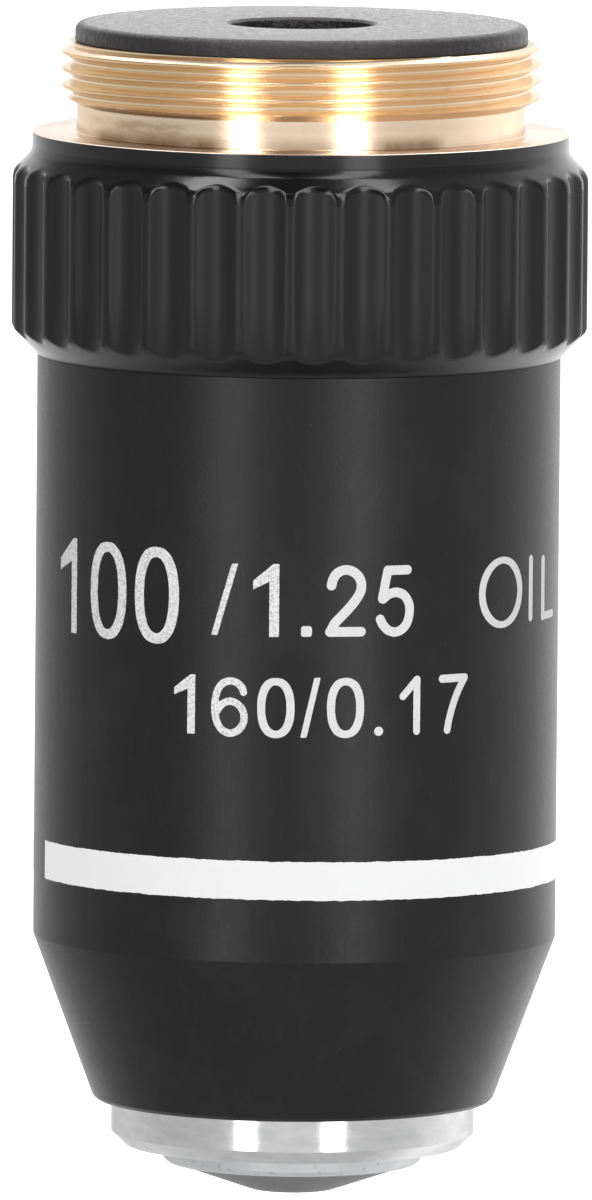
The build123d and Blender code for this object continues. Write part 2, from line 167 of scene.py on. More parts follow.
# ============================================================ material helpers
class Graph:
    """A short way to write node trees. Coordinates are the object's own, in mm."""

    def __init__(self, name, world=False):
        if world:
            self.owner = bpy.data.worlds.new(name)
        else:
            self.owner = bpy.data.materials.new(name)
        self.owner.use_nodes = True
        self.nt = self.owner.node_tree
        self.nt.nodes.clear()
        self.x = 0

    def node(self, kind, **props):
        nd = self.nt.nodes.new(kind)
        self.x += 40
        nd.location = (self.x, 0)
        for k, v in props.items():
            setattr(nd, k, v)
        return nd

    def put(self, socket, value):
        if isinstance(value, bpy.types.NodeSocket):
            self.nt.links.new(value, socket)
        elif value is not None:
            socket.default_value = value

    def math(self, op, a, b=None, c=None, clamp=False):
        nd = self.node("ShaderNodeMath", operation=op, use_clamp=clamp)
        for s, v in zip(nd.inputs, (a, b, c)):
            self.put(s, v)
        return nd.outputs[0]

    def add(self, a, b):
        return self.math("ADD", a, b)

    def mul(self, a, b):
        return self.math("MULTIPLY", a, b)

    def step(self, x, lo, hi, to_lo=0.0, to_hi=1.0, smooth=True):
        nd = self.node("ShaderNodeMapRange", interpolation_type="SMOOTHSTEP" if smooth else "LINEAR")
        for s, v in zip(nd.inputs[:5], (x, lo, hi, to_lo, to_hi)):
            self.put(s, v)
        return nd.outputs[0]

    def band(self, x, lo, hi, soft):
        """1 between lo and hi, with soft edges."""
        return self.mul(self.step(x, lo - soft, lo + soft), self.step(x, hi - soft, hi + soft, 1.0, 0.0))

    def mix(self, f, a, b):
        nd = self.node("ShaderNodeMix", data_type="RGBA")
        self.put(nd.inputs["Factor"], f)
        self.put(nd.inputs[6], a)
        self.put(nd.inputs[7], b)
        return nd.outputs[2]

    def mixf(self, f, a, b):
        nd = self.node("ShaderNodeMix", data_type="FLOAT")
        self.put(nd.inputs["Factor"], f)
        self.put(nd.inputs[2], a)
        self.put(nd.inputs[3], b)
        return nd.outputs[0]

    def coords(self):
        """(vector in mm, x, y, z, radius)"""
        tc = self.node("ShaderNodeTexCoord")
        mp = self.node("ShaderNodeMapping", vector_type="POINT")
        mp.inputs["Scale"].default_value = (1000, 1000, 1000)
        self.nt.links.new(tc.outputs["Object"], mp.inputs["Vector"])
        v = mp.outputs[0]
        sp = self.node("ShaderNodeSeparateXYZ")
        self.nt.links.new(v, sp.inputs[0])
        x, y, z = sp.outputs
        r = self.math("SQRT", self.add(self.mul(x, x), self.mul(y, y)))
        return v, x, y, z, r

    def noise(self, vec, scale, detail=2.0, rough=0.5, w=None, dim="3D", distortion=0.0):
        nd = self.node("ShaderNodeTexNoise", noise_dimensions=dim)
        if vec is not None and "Vector" in nd.inputs:
            self.put(nd.inputs["Vector"], vec)
        if w is not None:
            self.put(nd.inputs["W"], w)
        self.put(nd.inputs["Scale"], scale)
        self.put(nd.inputs["Detail"], detail)
        self.put(nd.inputs["Roughness"], rough)
        self.put(nd.inputs["Distortion"], distortion)
        return nd.outputs[0]

    def cells(self, vec, scale, feature="F1"):
        nd = self.node("ShaderNodeTexVoronoi", feature=feature)
        self.put(nd.inputs["Vector"], vec)
        self.put(nd.inputs["Scale"], scale)
        return nd

    def stretch(self, vec, sx, sy, sz):
        mp = self.node("ShaderNodeMapping", vector_type="POINT")
        mp.inputs["Scale"].default_value = (sx, sy, sz)
        self.nt.links.new(vec, mp.inputs["Vector"])
        return mp.outputs[0]

    def bump(self, height, distance, strength=1.0, normal=None):
        nd = self.node("ShaderNodeBump")
        self.put(nd.inputs["Strength"], strength)
        self.put(nd.inputs["Distance"], distance)
        self.put(nd.inputs["Height"], height)
        if normal is not None:
            self.put(nd.inputs["Normal"], normal)
        return nd.outputs[0]

    def surface(self, **sockets):
        bsdf = self.node("ShaderNodeBsdfPrincipled")
        out = self.node("ShaderNodeOutputMaterial")
        self.nt.links.new(bsdf.outputs[0], out.inputs["Surface"])
        for k, v in sockets.items():
            self.put(bsdf.inputs[k.replace("_", " ")], v)
        return self.owner


def rgb(r, g, b):
    return (r, g, b, 1.0)


def turned_lines(g, r, z, fine=9.0, coarse=1.6):
    """Tool marks of a lathe: they run round the part, so they depend on radius and height only."""
    w = g.add(g.mul(z, 1.0), g.mul(r, 1.37))
    a = g.noise(None, fine, 3.0, 0.6, w=w, dim="1D")
    b = g.noise(None, coarse, 2.0, 0.5, w=g.add(w, 31.7), dim="1D")
    return a, b


# ---------------------------------------------------------------- brass, turned
def make_brass(name, rough=0.17):
    g = Graph(name)
    v, x, y, z, r = g.coords()
    fine, coarse = turned_lines(g, r, z, 11.0, 1.5)
    cloud = g.noise(v, 0.55, 3.0, 0.55)
    stain = g.noise(g.stretch(v, 1.0, 1.0, 0.35), 1.6, 4.0, 0.6)
    # the thread is cleaner than the relief, the seat is rubbed pale
    base = g.mix(g.step(z, 1.15, 1.30), rgb(0.99, 0.785, 0.59), rgb(0.99, 0.81, 0.60))
    # painted reflection tone: the crests are tinted a deeper, darker gold to colour the thread's light and dark lines
    base = g.mix(g.mul(g.step(r, 10.05, 10.09), g.step(z, 1.3, 1.5)), base, rgb(0.95, 0.67, 0.41))
    base = g.mix(g.mul(g.step(z, 0.035, 0.005), g.step(r, 9.5, 9.7)), base, rgb(0.97, 0.86, 0.78))
    base = g.mix(g.mul(g.step(cloud, 0.35, 0.65), 0.06), base, rgb(0.80, 0.60, 0.40))
    base = g.mix(g.mul(g.step(coarse, 0.45, 0.7), 0.14), base, rgb(0.86, 0.66, 0.45))
    base = g.mix(g.mul(g.step(stain, 0.56, 0.72), 0.16), base, rgb(0.68, 0.48, 0.29))
    # painted dark reflection and shade in the corner above the seat, in patches at set angles round the part, and a
    # painted shadow line under the thread
    turn = g.mul(g.math("ARCTAN2", x, g.mul(y, -1.0)), 180 / math.pi)
    shade_patches = g.step(g.noise(g.stretch(v, 1.0, 1.0, 0.3), 0.9, 3.0, 0.6), 0.25, 0.70, 0.72, 1.0)
    where = g.add(g.band(turn, -64.0, -20.0, 6.0), g.band(turn, 20.0, 38.0, 3.5))
    where = g.add(where, g.mul(g.band(turn, -8.0, 9.0, 5.0), 0.55))
    where = g.math("MAXIMUM", where, g.mul(g.step(g.math("ABSOLUTE", turn), 90.0, 110.0), 0.45))
    foot = g.mul(g.mul(g.step(z, 0.70, 0.12), g.step(z, -0.005, 0.01)), g.step(r, 9.62, 9.54))
    base = g.mix(g.mul(g.mul(foot, g.mul(where, shade_patches)), 0.88), base, rgb(0.24, 0.12, 0.05))
    # painted shade: the thread's top rim, just under the cap, is greyed darker
    base = g.mix(g.mul(g.step(z, THREAD_TOP - 0.03, THREAD_TOP - 0.012), 0.85), base, rgb(0.54, 0.47, 0.38))
    # painted dark reflection, streaked, on the left of the relief between the seat and the thread
    relief_shade_streaks = g.step(g.noise(g.stretch(v, 0.45, 0.45, 1.3), 1.5, 3.0, 0.55), 0.36, 0.66)
    high = g.mul(g.mul(g.step(z, 1.08, 0.80), g.step(z, 0.10, 0.30)), g.mul(g.band(turn, -63.0, -28.0, 11.0), g.step(r, 9.62, 9.54)))
    base = g.mix(g.mul(g.mul(high, relief_shade_streaks), 0.66), base, rgb(0.44, 0.28, 0.17))
    base = g.mix(g.mul(high, 0.20), base, rgb(0.62, 0.44, 0.29))
    # painted shadow: a dark line under the end of the thread on the left
    thread_end_shadow = g.mul(g.band(z, 1.17, 1.34, 0.05), g.band(turn, -66.0, -22.0, 5.0))
    base = g.mix(g.mul(thread_end_shadow, 0.75), base, rgb(0.22, 0.12, 0.06))
    ro = g.add(g.step(fine, 0.2, 0.8, rough - 0.04, rough + 0.05, False), g.mul(g.step(stain, 0.5, 0.75), 0.06))
    bmp = g.bump(fine, 0.0000022, 1.0, g.bump(cloud, 0.00001, 0.25))
    return g.surface(Base_Color=base, Metallic=1.0, Roughness=ro, Normal=bmp, Specular_Tint=rgb(0.80, 0.76, 0.72))


# ---------------------------------------------------------- black gloss on brass
def make_black(name, dark, light, low, high, level):
    g = Graph(name)
    v, x, y, z, r = g.coords()
    grain = g.noise(v, 9.0, 3.0, 0.55)
    soft = g.noise(v, 0.8, 2.0, 0.5)
    speck = g.noise(v, 16.0, 1.0, 0.4)
    base = g.mix(soft, rgb(dark, dark * 0.94, dark * 0.96), rgb(light, light * 0.94, light * 0.94))
    base = g.mix(g.mul(g.step(speck, 0.72, 0.80), 0.20), base, rgb(0.12, 0.12, 0.12))
    ro = g.step(grain, 0.25, 0.75, low, high, False)
    bmp = g.bump(grain, 0.000002, 0.5)
    return g.surface(Base_Color=base, Metallic=0.0, Roughness=ro, Normal=bmp, IOR=1.5, Specular_IOR_Level=level)


# ------------------------------------------------------------ black satin sleeve
def make_sleeve(name):
    g = Graph(name)
    v, x, y, z, r = g.coords()
    grain = g.noise(v, 7.0, 4.0, 0.6)
    mottle = g.noise(v, 0.7, 3.0, 0.55)
    rub = g.noise(g.stretch(v, 1.0, 1.0, 0.22), 3.0, 4.0, 0.6)
    dust = g.cells(v, 1.7)
    near = g.step(dust.outputs["Distance"], 0.03, 0.055, 1.0, 0.0)
    pick = g.step(g.math("FRACT", g.mul(dust.outputs["Color"], 7.3)), 0.80, 0.82)
    base = g.mix(mottle, rgb(0.0100, 0.0098, 0.0101), rgb(0.0135, 0.0131, 0.0132))
    patch = g.noise(g.stretch(v, 1.0, 1.0, 0.8), 0.33, 5.0, 0.62)
    base = g.mix(g.mul(g.step(patch, 0.48, 0.66), 0.42), base, rgb(0.024, 0.022, 0.0225))
    base = g.mix(g.mul(g.step(rub, 0.55, 0.72), 0.25), base, rgb(0.030, 0.029, 0.029))
    base = g.mix(g.mul(g.mul(near, pick), 0.30), base, rgb(0.22, 0.22, 0.22))
    ro = g.add(g.step(grain, 0.25, 0.75, 0.28, 0.37, False), g.mul(g.step(rub, 0.5, 0.75), -0.04))
    bmp = g.bump(grain, 0.000012, 0.5)
    return g.surface(Base_Color=base, Metallic=0.0, Roughness=ro, Normal=bmp, IOR=1.5, Specular_IOR_Level=0.30)


# -------------------------------------------------------------- matt black cap
def make_cap(name):
    g = Graph(name)
    v, x, y, z, r = g.coords()
    grain = g.noise(v, 8.5, 4.0, 0.65)
    fine = g.noise(v, 22.0, 2.0, 0.5)
    fine_l, coarse_l = turned_lines(g, r, z, 5.0, 1.1)
    base = g.mix(grain, rgb(0.014, 0.0125, 0.0132), rgb(0.030, 0.027, 0.0285))
    # painted shade: the rounded edge and side of the cap are darker than its top
    base = g.mix(g.step(z, CAP_TOP - 0.30, CAP_TOP - 0.04), g.mix(0.55, base, rgb(0.003, 0.0026, 0.0028)), base)
    base = g.mix(g.mul(g.mul(g.step(fine, 0.52, 0.66), g.step(z, CAP_TOP - 0.20, CAP_TOP - 0.02)), 0.60), base, rgb(0.40, 0.375, 0.39))
    ro = g.step(grain, 0.25, 0.75, 0.22, 0.34, False)
    ro = g.mixf(g.step(r, 9.10, 9.30), ro, 0.42)
    ro = g.add(ro, g.step(fine, 0.35, 0.65, -0.05, 0.05, False))
    rough = g.noise(v, 3.0, 4.0, 0.75)
    ro = g.add(ro, g.step(rough, 0.40, 0.62, -0.09, 0.09, False))
    ro = g.add(ro, g.step(z, CAP_TOP - 0.10, CAP_TOP - 0.01, 0.0, -0.06, False))
    bmp = g.bump(g.add(grain, g.mul(fine_l, 0.2)), 0.000014, 0.7, g.bump(rough, 0.000070, 1.0))
    return g.surface(Base_Color=base, Metallic=0.0, Roughness=ro, Normal=bmp, IOR=1.5, Specular_IOR_Level=0.57, Specular_Tint=rgb(1.0, 0.965, 0.982))


# -------------------------------------------------------------- bright collar
def make_steel(name, tone=0.74, rough=0.11, blotch=0.12):
    g = Graph(name)
    v, x, y, z, r = g.coords()
    fine, coarse = turned_lines(g, r, z, 14.0, 1.2)
    cloud = g.noise(g.stretch(v, 1.0, 1.0, 2.2), 0.9, 4.0, 0.6)
    wipe = g.noise(g.stretch(v, 0.6, 0.6, 3.0), 2.2, 4.0, 0.65)
    a, b = tone * 0.93, min(1.0, tone * 1.05)
    base = g.mix(g.step(cloud, 0.3, 0.7), rgb(a, a * 1.005, a * 1.01), rgb(b, b, b * 0.995))
    base = g.mix(g.mul(g.step(wipe, 0.52, 0.70), blotch), base, rgb(tone * 0.70, tone * 0.70, tone * 0.71))
    base = g.mix(g.mul(g.step(coarse, 0.52, 0.68), 0.10), base, rgb(tone * 0.80, tone * 0.80, tone * 0.81))
    ro = g.add(g.step(fine, 0.2, 0.8, rough - 0.02, rough + 0.04, False), g.mul(g.step(cloud, 0.4, 0.7), 0.03))
    bmp = g.bump(fine, 0.0000012, 1.0)
    return g.surface(Base_Color=base, Metallic=1.0, Roughness=ro, Normal=bmp, Specular_Tint=rgb(0.62, 0.62, 0.62))


def make_front(name):
    """The front cell: a bright rim band and a finely turned cone whose dark colour is mostly painted reflection of the
    dark surround below.
    """
    g = Graph(name)
    v, x, y, z, r = g.coords()
    fine, coarse = turned_lines(g, r, z, 16.0, 2.2)
    cloud = g.noise(v, 1.3, 4.0, 0.6)
    pit = g.noise(v, 3.2, 3.0, 0.6)
    cone = g.step(r, 5.08, 5.00)
    light = g.mix(cloud, rgb(0.68, 0.69, 0.70), rgb(0.84, 0.85, 0.86))
    light = g.mix(g.mul(g.step(pit, 0.60, 0.68), 0.45), light, rgb(0.34, 0.35, 0.37))
    # painted reflection: the cone's dark colour stands in for the dark surround it reflects
    dark = g.mix(coarse, rgb(0.120, 0.121, 0.120), rgb(0.185, 0.186, 0.184))
    base = g.mix(cone, light, dark)
    ro = g.add(g.step(fine, 0.2, 0.8, 0.46, 0.56, False), g.mul(cone, -0.16))
    bmp = g.bump(fine, 0.0000025, 1.0, g.bump(pit, 0.00002, 0.25))
    return g.surface(Base_Color=base, Metallic=1.0, Roughness=ro, Normal=bmp, Specular_Tint=rgb(0.55, 0.55, 0.55))


def make_plain_metal(name, tint, rough, metallic=1.0, marks=10.0):
    g = Graph(name)
    v, x, y, z, r = g.coords()
    fine, coarse = turned_lines(g, r, z, marks, 1.3)
    cloud = g.noise(v, 1.1, 3.0, 0.6)
    base = g.mix(cloud, rgb(*[c * 0.90 for c in tint]), rgb(*[min(1.0, c * 1.08) for c in tint]))
    base = g.mix(g.mul(g.step(coarse, 0.5, 0.7), 0.18), base, rgb(*[c * 0.8 for c in tint]))
    ro = g.step(fine, 0.2, 0.8, rough - 0.04, rough + 0.06, False)
    bmp = g.bump(fine, 0.000003, 1.0)
    return g.surface(Base_Color=base, Metallic=metallic, Roughness=ro, Normal=bmp)


def make_glass(name, tint, coat):
    g = Graph(name)
    v, x, y, z, r = g.coords()
    film = g.noise(v, 0.6, 2.0, 0.5)
    base = g.mix(film, rgb(*tint), rgb(*[min(1.0, c * 1.03) for c in tint]))
    haze = g.step(g.noise(v, 5.0, 3.0, 0.6), 0.45, 0.8, 0.0, 0.05)
    return g.surface(Base_Color=base, Metallic=0.0, Roughness=haze, IOR=coat, Transmission_Weight=1.0)


def make_ink(name, speckle, white=0.93, painted_glow=0.19, side_shade=0.0):
    g = Graph(name)
    v, x, y, z, r = g.coords()
    fleck = g.noise(v, 9.0, 3.0, 0.6)
    cloud = g.noise(v, 1.0, 2.0, 0.5)
    base = g.mix(cloud, rgb(white - 0.02, white - 0.02, white - 0.01), rgb(white + 0.02, white + 0.02, white + 0.025))
    base = g.mix(g.mul(g.step(fleck, 0.44, 0.62), speckle), base, rgb(0.42, 0.42, 0.42))
    if side_shade:     # painted shade: darker round the sides, where less light falls
        turn = g.math("ABSOLUTE", g.mul(g.math("ARCTAN2", x, g.mul(y, -1.0)), 180 / math.pi))
        base = g.mix(g.mul(g.step(turn, 28.0, 72.0, 0.0, 1.0, False), side_shade), base, rgb(0.30, 0.30, 0.30))
    bmp = g.bump(fleck, 0.000008, 0.5)
    # the emission is painted light: it lifts the white ink towards pure white
    return g.surface(Base_Color=base, Metallic=0.0, Roughness=g.step(fleck, 0.2, 0.8, 0.45, 0.60, False), Normal=bmp, IOR=1.5,
                     Specular_IOR_Level=0.4, Emission_Color=base, Emission_Strength=painted_glow)


BRASS = make_brass("brass_turned")
BLACK_GLOSS = make_black("black_body_gloss", 0.0030, 0.0050, 0.15, 0.20, 0.45)
BLACK_SATIN = make_black("black_body_satin", 0.0075, 0.0095, 0.36, 0.43, 0.34)
BLACK_FLARE = make_black("black_body_flare", 0.0022, 0.0040, 0.14, 0.19, 0.34)
SLEEVE_BLACK = make_sleeve("black_anodised_sleeve")
CAP_BLACK = make_cap("black_anodised_cap")
COLLAR_STEEL = make_steel("bright_steel")
FRONT_STEEL = make_front("cell_steel")
SPRING_STEEL = make_plain_metal("spring_steel", (0.50, 0.50, 0.52), 0.26)
INNER_BRASS = make_plain_metal("inner_brass", (0.66, 0.52, 0.30), 0.30)
INNER_BLACK = make_plain_metal("inner_black", (0.030, 0.030, 0.032), 0.55, 0.0)
CROWN = make_glass("crown_glass", (0.93, 0.97, 0.98), 1.52)
FLINT = make_glass("flint_glass", (0.97, 0.98, 0.93), 1.62)
INK_CLEAN = make_ink("white_ink", 0.16, 0.80, 0.15, 0.46)
INK_WORN = make_ink("white_ink_worn", 0.62, 0.87, 0.15, 0.42)
INK_BAND = make_ink("white_band_ink", 0.08, 0.92, 0.17)


# ============================================================== the mount body
def thread_radius(z, az):
    """Radius of the rounded 55 degree thread at height z and angle az from +X."""
    crest = THREAD_PHASE_Z + PITCH * (az - math.pi) / (2 * math.pi)
    u = np.abs((z - crest + PITCH / 2) % PITCH - PITCH / 2)
    slope = 1 / math.tan(math.radians(27.5))
    flank = THREAD_R - (u - THREAD_FLAT / 2) * slope
    edge = 0.026                      # the crest's edges are slightly broken
    crest_r = np.where(u < THREAD_FLAT / 2 - edge, THREAD_R,
                       THREAD_R - np.maximum(u - THREAD_FLAT / 2 + edge, 0) ** 2 / (4 * edge) * slope)
    bend = THREAD_ROUND * math.cos(math.radians(27.5))
    v = PITCH / 2 - u
    join = THREAD_R - (PITCH / 2 - bend - THREAD_FLAT / 2) * slope
    sink = THREAD_ROUND * (1 - math.sin(math.radians(27.5)))
    root_r = join - sink + THREAD_ROUND - np.sqrt(np.maximum(THREAD_ROUND**2 - v * v, 0))
    return np.where(u < THREAD_FLAT / 2 + edge, crest_r, np.where(v < bend, root_r, flank))


def arc_through(p, q, s, n):
    """Points of the arc from p to s through q."""
    (ax, ay), (bx, by), (cx, cy) = p, q, s
    d = 2 * (ax * (by - cy) + bx * (cy - ay) + cx * (ay - by))
    ux = ((ax * ax + ay * ay) * (by - cy) + (bx * bx + by * by) * (cy - ay) + (cx * cx + cy * cy) * (ay - by)) / d
    uy = ((ax * ax + ay * ay) * (cx - bx) + (bx * bx + by * by) * (ax - cx) + (cx * cx + cy * cy) * (bx - ax)) / d
    rad = math.hypot(ax - ux, ay - uy)
    a0, a2 = math.atan2(ay - uy, ax - ux), math.atan2(cy - uy, cx - ux)
    d2 = (a2 - a0 + math.pi) % (2 * math.pi) - math.pi
    return [(ux + rad * math.cos(a0 + d2 * k / n), uy + rad * math.sin(a0 + d2 * k / n)) for k in range(n + 1)]


def mount_body():
    # columns: each flute has nine, each land three; no column lies on the ridge's edge, so it is slightly broken
    half = math.acos((CUTTER_AXIS_R**2 + GRIP_R**2 - CUTTER_R**2) / (2 * CUTTER_AXIS_R * GRIP_R))
    step = 2 * math.pi / FLUTES
    inside = [-1.0, -0.80, -0.54, -0.27, 0.0, 0.27, 0.54, 0.80, 1.0]
    cols, flute_r = [], []
    eps = math.radians(0.22)
    for k in range(FLUTES):
        centre = math.radians(-90 + FLUTE_PHASE) + k * step
        for s in inside:
            t = s * (half - eps)
            cols.append(centre + t)
            flute_r.append(CUTTER_AXIS_R * math.cos(t) - math.sqrt(CUTTER_R**2 - (CUTTER_AXIS_R * math.sin(t)) ** 2))
        land = step - 2 * half
        for s in (0.13, 0.5, 0.87):
            cols.append(centre + half + land * s)
            flute_r.append(GRIP_R)
    az, fr = np.array(cols), np.minimum(np.array(flute_r), GRIP_R)
    n = len(az)
    rows = []      # (radius array, z array, material)

    def ring(r, z, mat):
        rows.append((np.broadcast_to(np.asarray(r, float), (n,)).copy(), np.broadcast_to(np.asarray(z, float), (n,)).copy(), mat))

    # bore and end face, going up and out (material of the band that starts at each row)
    ring(CAP_THREAD_R, CAP_THREAD_FOOT, 0)
    ring(CAP_THREAD_R, THREAD_TOP - 0.04, 0)
    ring(CAP_THREAD_R + 0.04, THREAD_TOP, 0)
    ring(THREAD_R - THREAD_LEAD[0] - 0.02, THREAD_TOP, 0)
    # thread, from the lead-in down to the run-out
    z_top, z_low = THREAD_TOP - 0.012, RELIEF_TOP
    count = 132
    for k in range(count + 1):
        z = z_top + (z_low - z_top) * k / count
        lead = THREAD_R - max(0.0, z - (THREAD_TOP - THREAD_LEAD[1])) * THREAD_LEAD[0] / THREAD_LEAD[1]
        out = RELIEF_R + (z - RELIEF_TOP) * (THREAD_R - RELIEF_R) / (THREAD_FOOT - RELIEF_TOP)
        ring(np.minimum(np.minimum(thread_radius(z, az), lead), out), z, 0)
    # relief with its hollow fillet, and seat
    ring(RELIEF_R, RELIEF_TOP - 0.03, 0)
    for a in range(0, 91, 10):
        t = math.radians(a)
        ring(RELIEF_R + RELIEF_ROUND * (1 - math.cos(t)), RELIEF_ROUND * (1 - math.sin(t)), 0)
    ring(SEAT_R_OUT - SEAT_EDGE - 0.01, 0.0, 0)
    ring(SEAT_R_OUT - 0.035, -0.018, 0)
    ring(SEAT_R_OUT - 0.010, -0.040, 1)
    ring(SEAT_R_OUT, -SEAT_EDGE - 0.02, 1)
    ring(SEAT_R_OUT, NECK_FOOT + 0.10, 1)
    # flare: the profile is followed down to where each column meets its flute
    prof = arc_through((SEAT_R_OUT, NECK_FOOT), COVE_MID, COVE_END, 24)
    prof += [(COVE_END[0] + (SLOPE_END[0] - COVE_END[0]) * k / 12, COVE_END[1] + (SLOPE_END[1] - COVE_END[1]) * k / 12) for k in range(1, 12)]
    prof += arc_through(SLOPE_END, CREST_MID, (GRIP_R, GRIP_TOP), 30)
    prof = np.array(prof)
    s = np.concatenate([[0], np.cumsum(np.hypot(*np.diff(prof, axis=0).T))])
    s_end = np.interp(np.minimum(fr, GRIP_R - 1e-4), prof[:, 0], s)
    s_end = np.where(fr > GRIP_R - 1e-3, s[-1], s_end)
    bevel = 0.17
    K = 14
    for k in range(K + 1):
        q = (s_end - bevel) * k / K
        ring(np.interp(q, s, prof[:, 0]), np.interp(q, s, prof[:, 1]), 3)
    crease = np.interp(s_end, s, prof[:, 1])
    # the crease is rubbed round: a curve from the flare over into the flute's wall
    top_r, top_z = np.interp(s_end - bevel, s, prof[:, 0]), np.interp(s_end - bevel, s, prof[:, 1])
    turn_r = np.interp(s_end, s, prof[:, 0])
    for t in (0.16, 0.33, 0.5, 0.67, 0.84, 1.0):
        ring((1 - t) ** 2 * top_r + 2 * t * (1 - t) * turn_r + t * t * fr,
             (1 - t) ** 2 * top_z + 2 * t * (1 - t) * crease + t * t * (crease - bevel), 2 if t > 0.9 else 3)
    # walls of the flutes and the lands
    low = GRIP_CHAMFER_FOOT + (fr - GRIP_CHAMFER_R) * (GRIP_FOOT - GRIP_CHAMFER_FOOT) / (GRIP_R - GRIP_CHAMFER_R)
    top = crease - bevel
    soft = np.where(fr > GRIP_R - 1e-3, 0.10, 0.030)
    bot = low + soft
    for k in (0.33, 0.67):
        ring(fr, top + (bot - top) * k, 2)
    ring(fr, bot, 2)
    # lower bevel, from each column's own crease
    slope = (GRIP_R - GRIP_CHAMFER_R) / (GRIP_FOOT - GRIP_CHAMFER_FOOT)
    edge_r = fr - soft * 0.7 * slope
    ring(fr - soft * 0.25, low + soft * 0.35, 2)
    ring(edge_r, low - soft * 0.7, 1)
    for k in (0.25, 0.5, 0.75):
        ring(edge_r + (GRIP_CHAMFER_R + 0.02 - edge_r) * k, low - soft * 0.7 + (GRIP_CHAMFER_FOOT + 0.02 - low + soft * 0.7) * k, 1)
    ring(GRIP_CHAMFER_R + 0.02, GRIP_CHAMFER_FOOT + 0.02, 1)
    ring(GRIP_CHAMFER_R, GRIP_CHAMFER_FOOT - 0.005, 1)
    ring(GRIP_CHAMFER_R - 0.01, BODY_SPLIT + 0.01, 1)
    ring(GRIP_CHAMFER_R - 0.03, BODY_SPLIT, 0)
    # hidden spigot, guide tube and bores
    ring(SPIGOT_R, BODY_SPLIT, 0)
    ring(SPIGOT_R, SPIGOT_FOOT, 0)
    ring(GUIDE_OUT_R, SPIGOT_FOOT - 0.60, 0)
    ring(GUIDE_OUT_R, GUIDE_FOOT, 0)
    ring(GUIDE_R + 0.30, GUIDE_FOOT, 0)
    ring(GUIDE_R, GUIDE_FOOT + 0.30, 0)
    ring(GUIDE_R, CHAMBER_FOOT, 0)
    ring(CHAMBER_R, CHAMBER_FOOT, 0)
    ring(CHAMBER_R, CAP_THREAD_FOOT, 0)

    m = len(rows)
    R, Z = np.array([q[0] for q in rows]), np.array([q[1] for q in rows])
    verts = np.stack([R * np.cos(az), R * np.sin(az), Z], axis=2).reshape(-1, 3)
    i, j = np.meshgrid(np.arange(m), np.arange(n), indexing="ij")
    i2, j2 = (i + 1) % m, (j + 1) % n
    # the outline runs clockwise in (radius, z)
    faces = np.stack([i * n + j, i2 * n + j, i2 * n + j2, i * n + j2], axis=2).reshape(-1, 4)
    index = np.repeat([q[2] for q in rows], n)
    return build("mount_body_skin", verts, faces.tolist(), [BRASS, BLACK_GLOSS, BLACK_SATIN, BLACK_FLARE], index.tolist(), 33.0)


body = mount_body()
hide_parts("mount_body")
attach(body, "housing")

# ------------------------------------------------------------------- rear cap
cap = lathe("rear_cap_skin", rounded([
    (CAP_HOLE_R, CAP_WEB_FOOT, 0.05), (CAP_HOLE_R, CAP_TOP - 0.12, 0.04), (CAP_HOLE_R + 0.12, CAP_TOP, 0.05),
    (CAP_R, CAP_TOP, 0.36), (CAP_R, THREAD_TOP, 0.04), (CAP_THREAD_R, THREAD_TOP, 0),
    (CAP_THREAD_R, CAP_THREAD_FOOT, 0.05), (CAP_SKIRT_IN_R, CAP_THREAD_FOOT, 0.05), (CAP_SKIRT_IN_R, CAP_WEB_FOOT, 0.10)], 5),
    [CAP_BLACK], n=360)
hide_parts("rear_cap")
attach(cap, "housing")

# --------------------------------------------------------------- outer sleeve
sleeve = lathe("outer_sleeve_skin", rounded([
    (SLEEVE_BORE_R, BODY_SPLIT, 0), (SLEEVE_R, BODY_SPLIT, 0.07), (SLEEVE_R, KNEE, 0.35), (NOSE_R, NOSE_EDGE, 0.05),
    (NOSE_R - 0.16, NOSE_FOOT, 0.05), (NOSE_BORE_R, NOSE_FOOT, 0.05), (NOSE_BORE_R, NOSE_BORE_TOP, 0),
    (SLEEVE_BORE_R, INNER_KNEE, 0)], 4), [SLEEVE_BLACK], n=384)
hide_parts("outer_sleeve")
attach(sleeve, "housing")

# ---------------------------------------------------------------- nose collar
collar = lathe("nose_collar_skin", rounded([
    (TUBE_R, COLLAR_TOP, 0), (COLLAR_R, COLLAR_TOP, 0.30), (COLLAR_R, COLLAR_FOOT + COLLAR_BEVEL, 0.05),
    (COLLAR_R - COLLAR_BEVEL, COLLAR_FOOT, 0.06), (FRONT_CELL_R + 0.03, COLLAR_FOOT, 0.05),
    (FRONT_CELL_R + 0.03, LIP_TOP, 0), (TUBE_R, LIP_TOP, 0)], 4), [COLLAR_STEEL], n=360)
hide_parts("nose_collar")
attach(collar, "lens_unit")

# ----------------------------------------------------------------- front cell
ball_z = TIP + math.sqrt(BALL_R**2 - BALL_FACE_R**2)
seat = [(BALL_R * math.cos(math.radians(a)), ball_z + BALL_R * math.sin(math.radians(a))) for a in (-30, -20, -10, 0)]
cell_outline = [(WELL_R, TUBE_STEP), (WELL_R, WELL_FOOT), (2.60, WELL_FOOT), (BALL_R, ball_z + 0.45)]
cell_outline += seat[::-1] + [(BALL_FACE_R, TIP)]
cell_outline += [(TIP_R - 0.05, TIP), (TIP_R + 0.02, TIP + 0.012)]
cell_outline += [(CONE_R + (TIP_R - CONE_R) * k, CONE_TOP + (TIP - CONE_TOP) * k) for k in (0.75, 0.5, 0.25, 0.03)]
cell_outline += arc_through((CONE_R + 0.01, CONE_TOP), (FRONT_CELL_R - 0.12, CELL_EDGE - 0.16), (FRONT_CELL_R, CELL_EDGE), 8)
cell_outline += [(FRONT_CELL_R, TUBE_STEP)]
cell = lathe("front_cell_skin", cell_outline, [FRONT_STEEL], n=320)
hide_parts("front_cell")
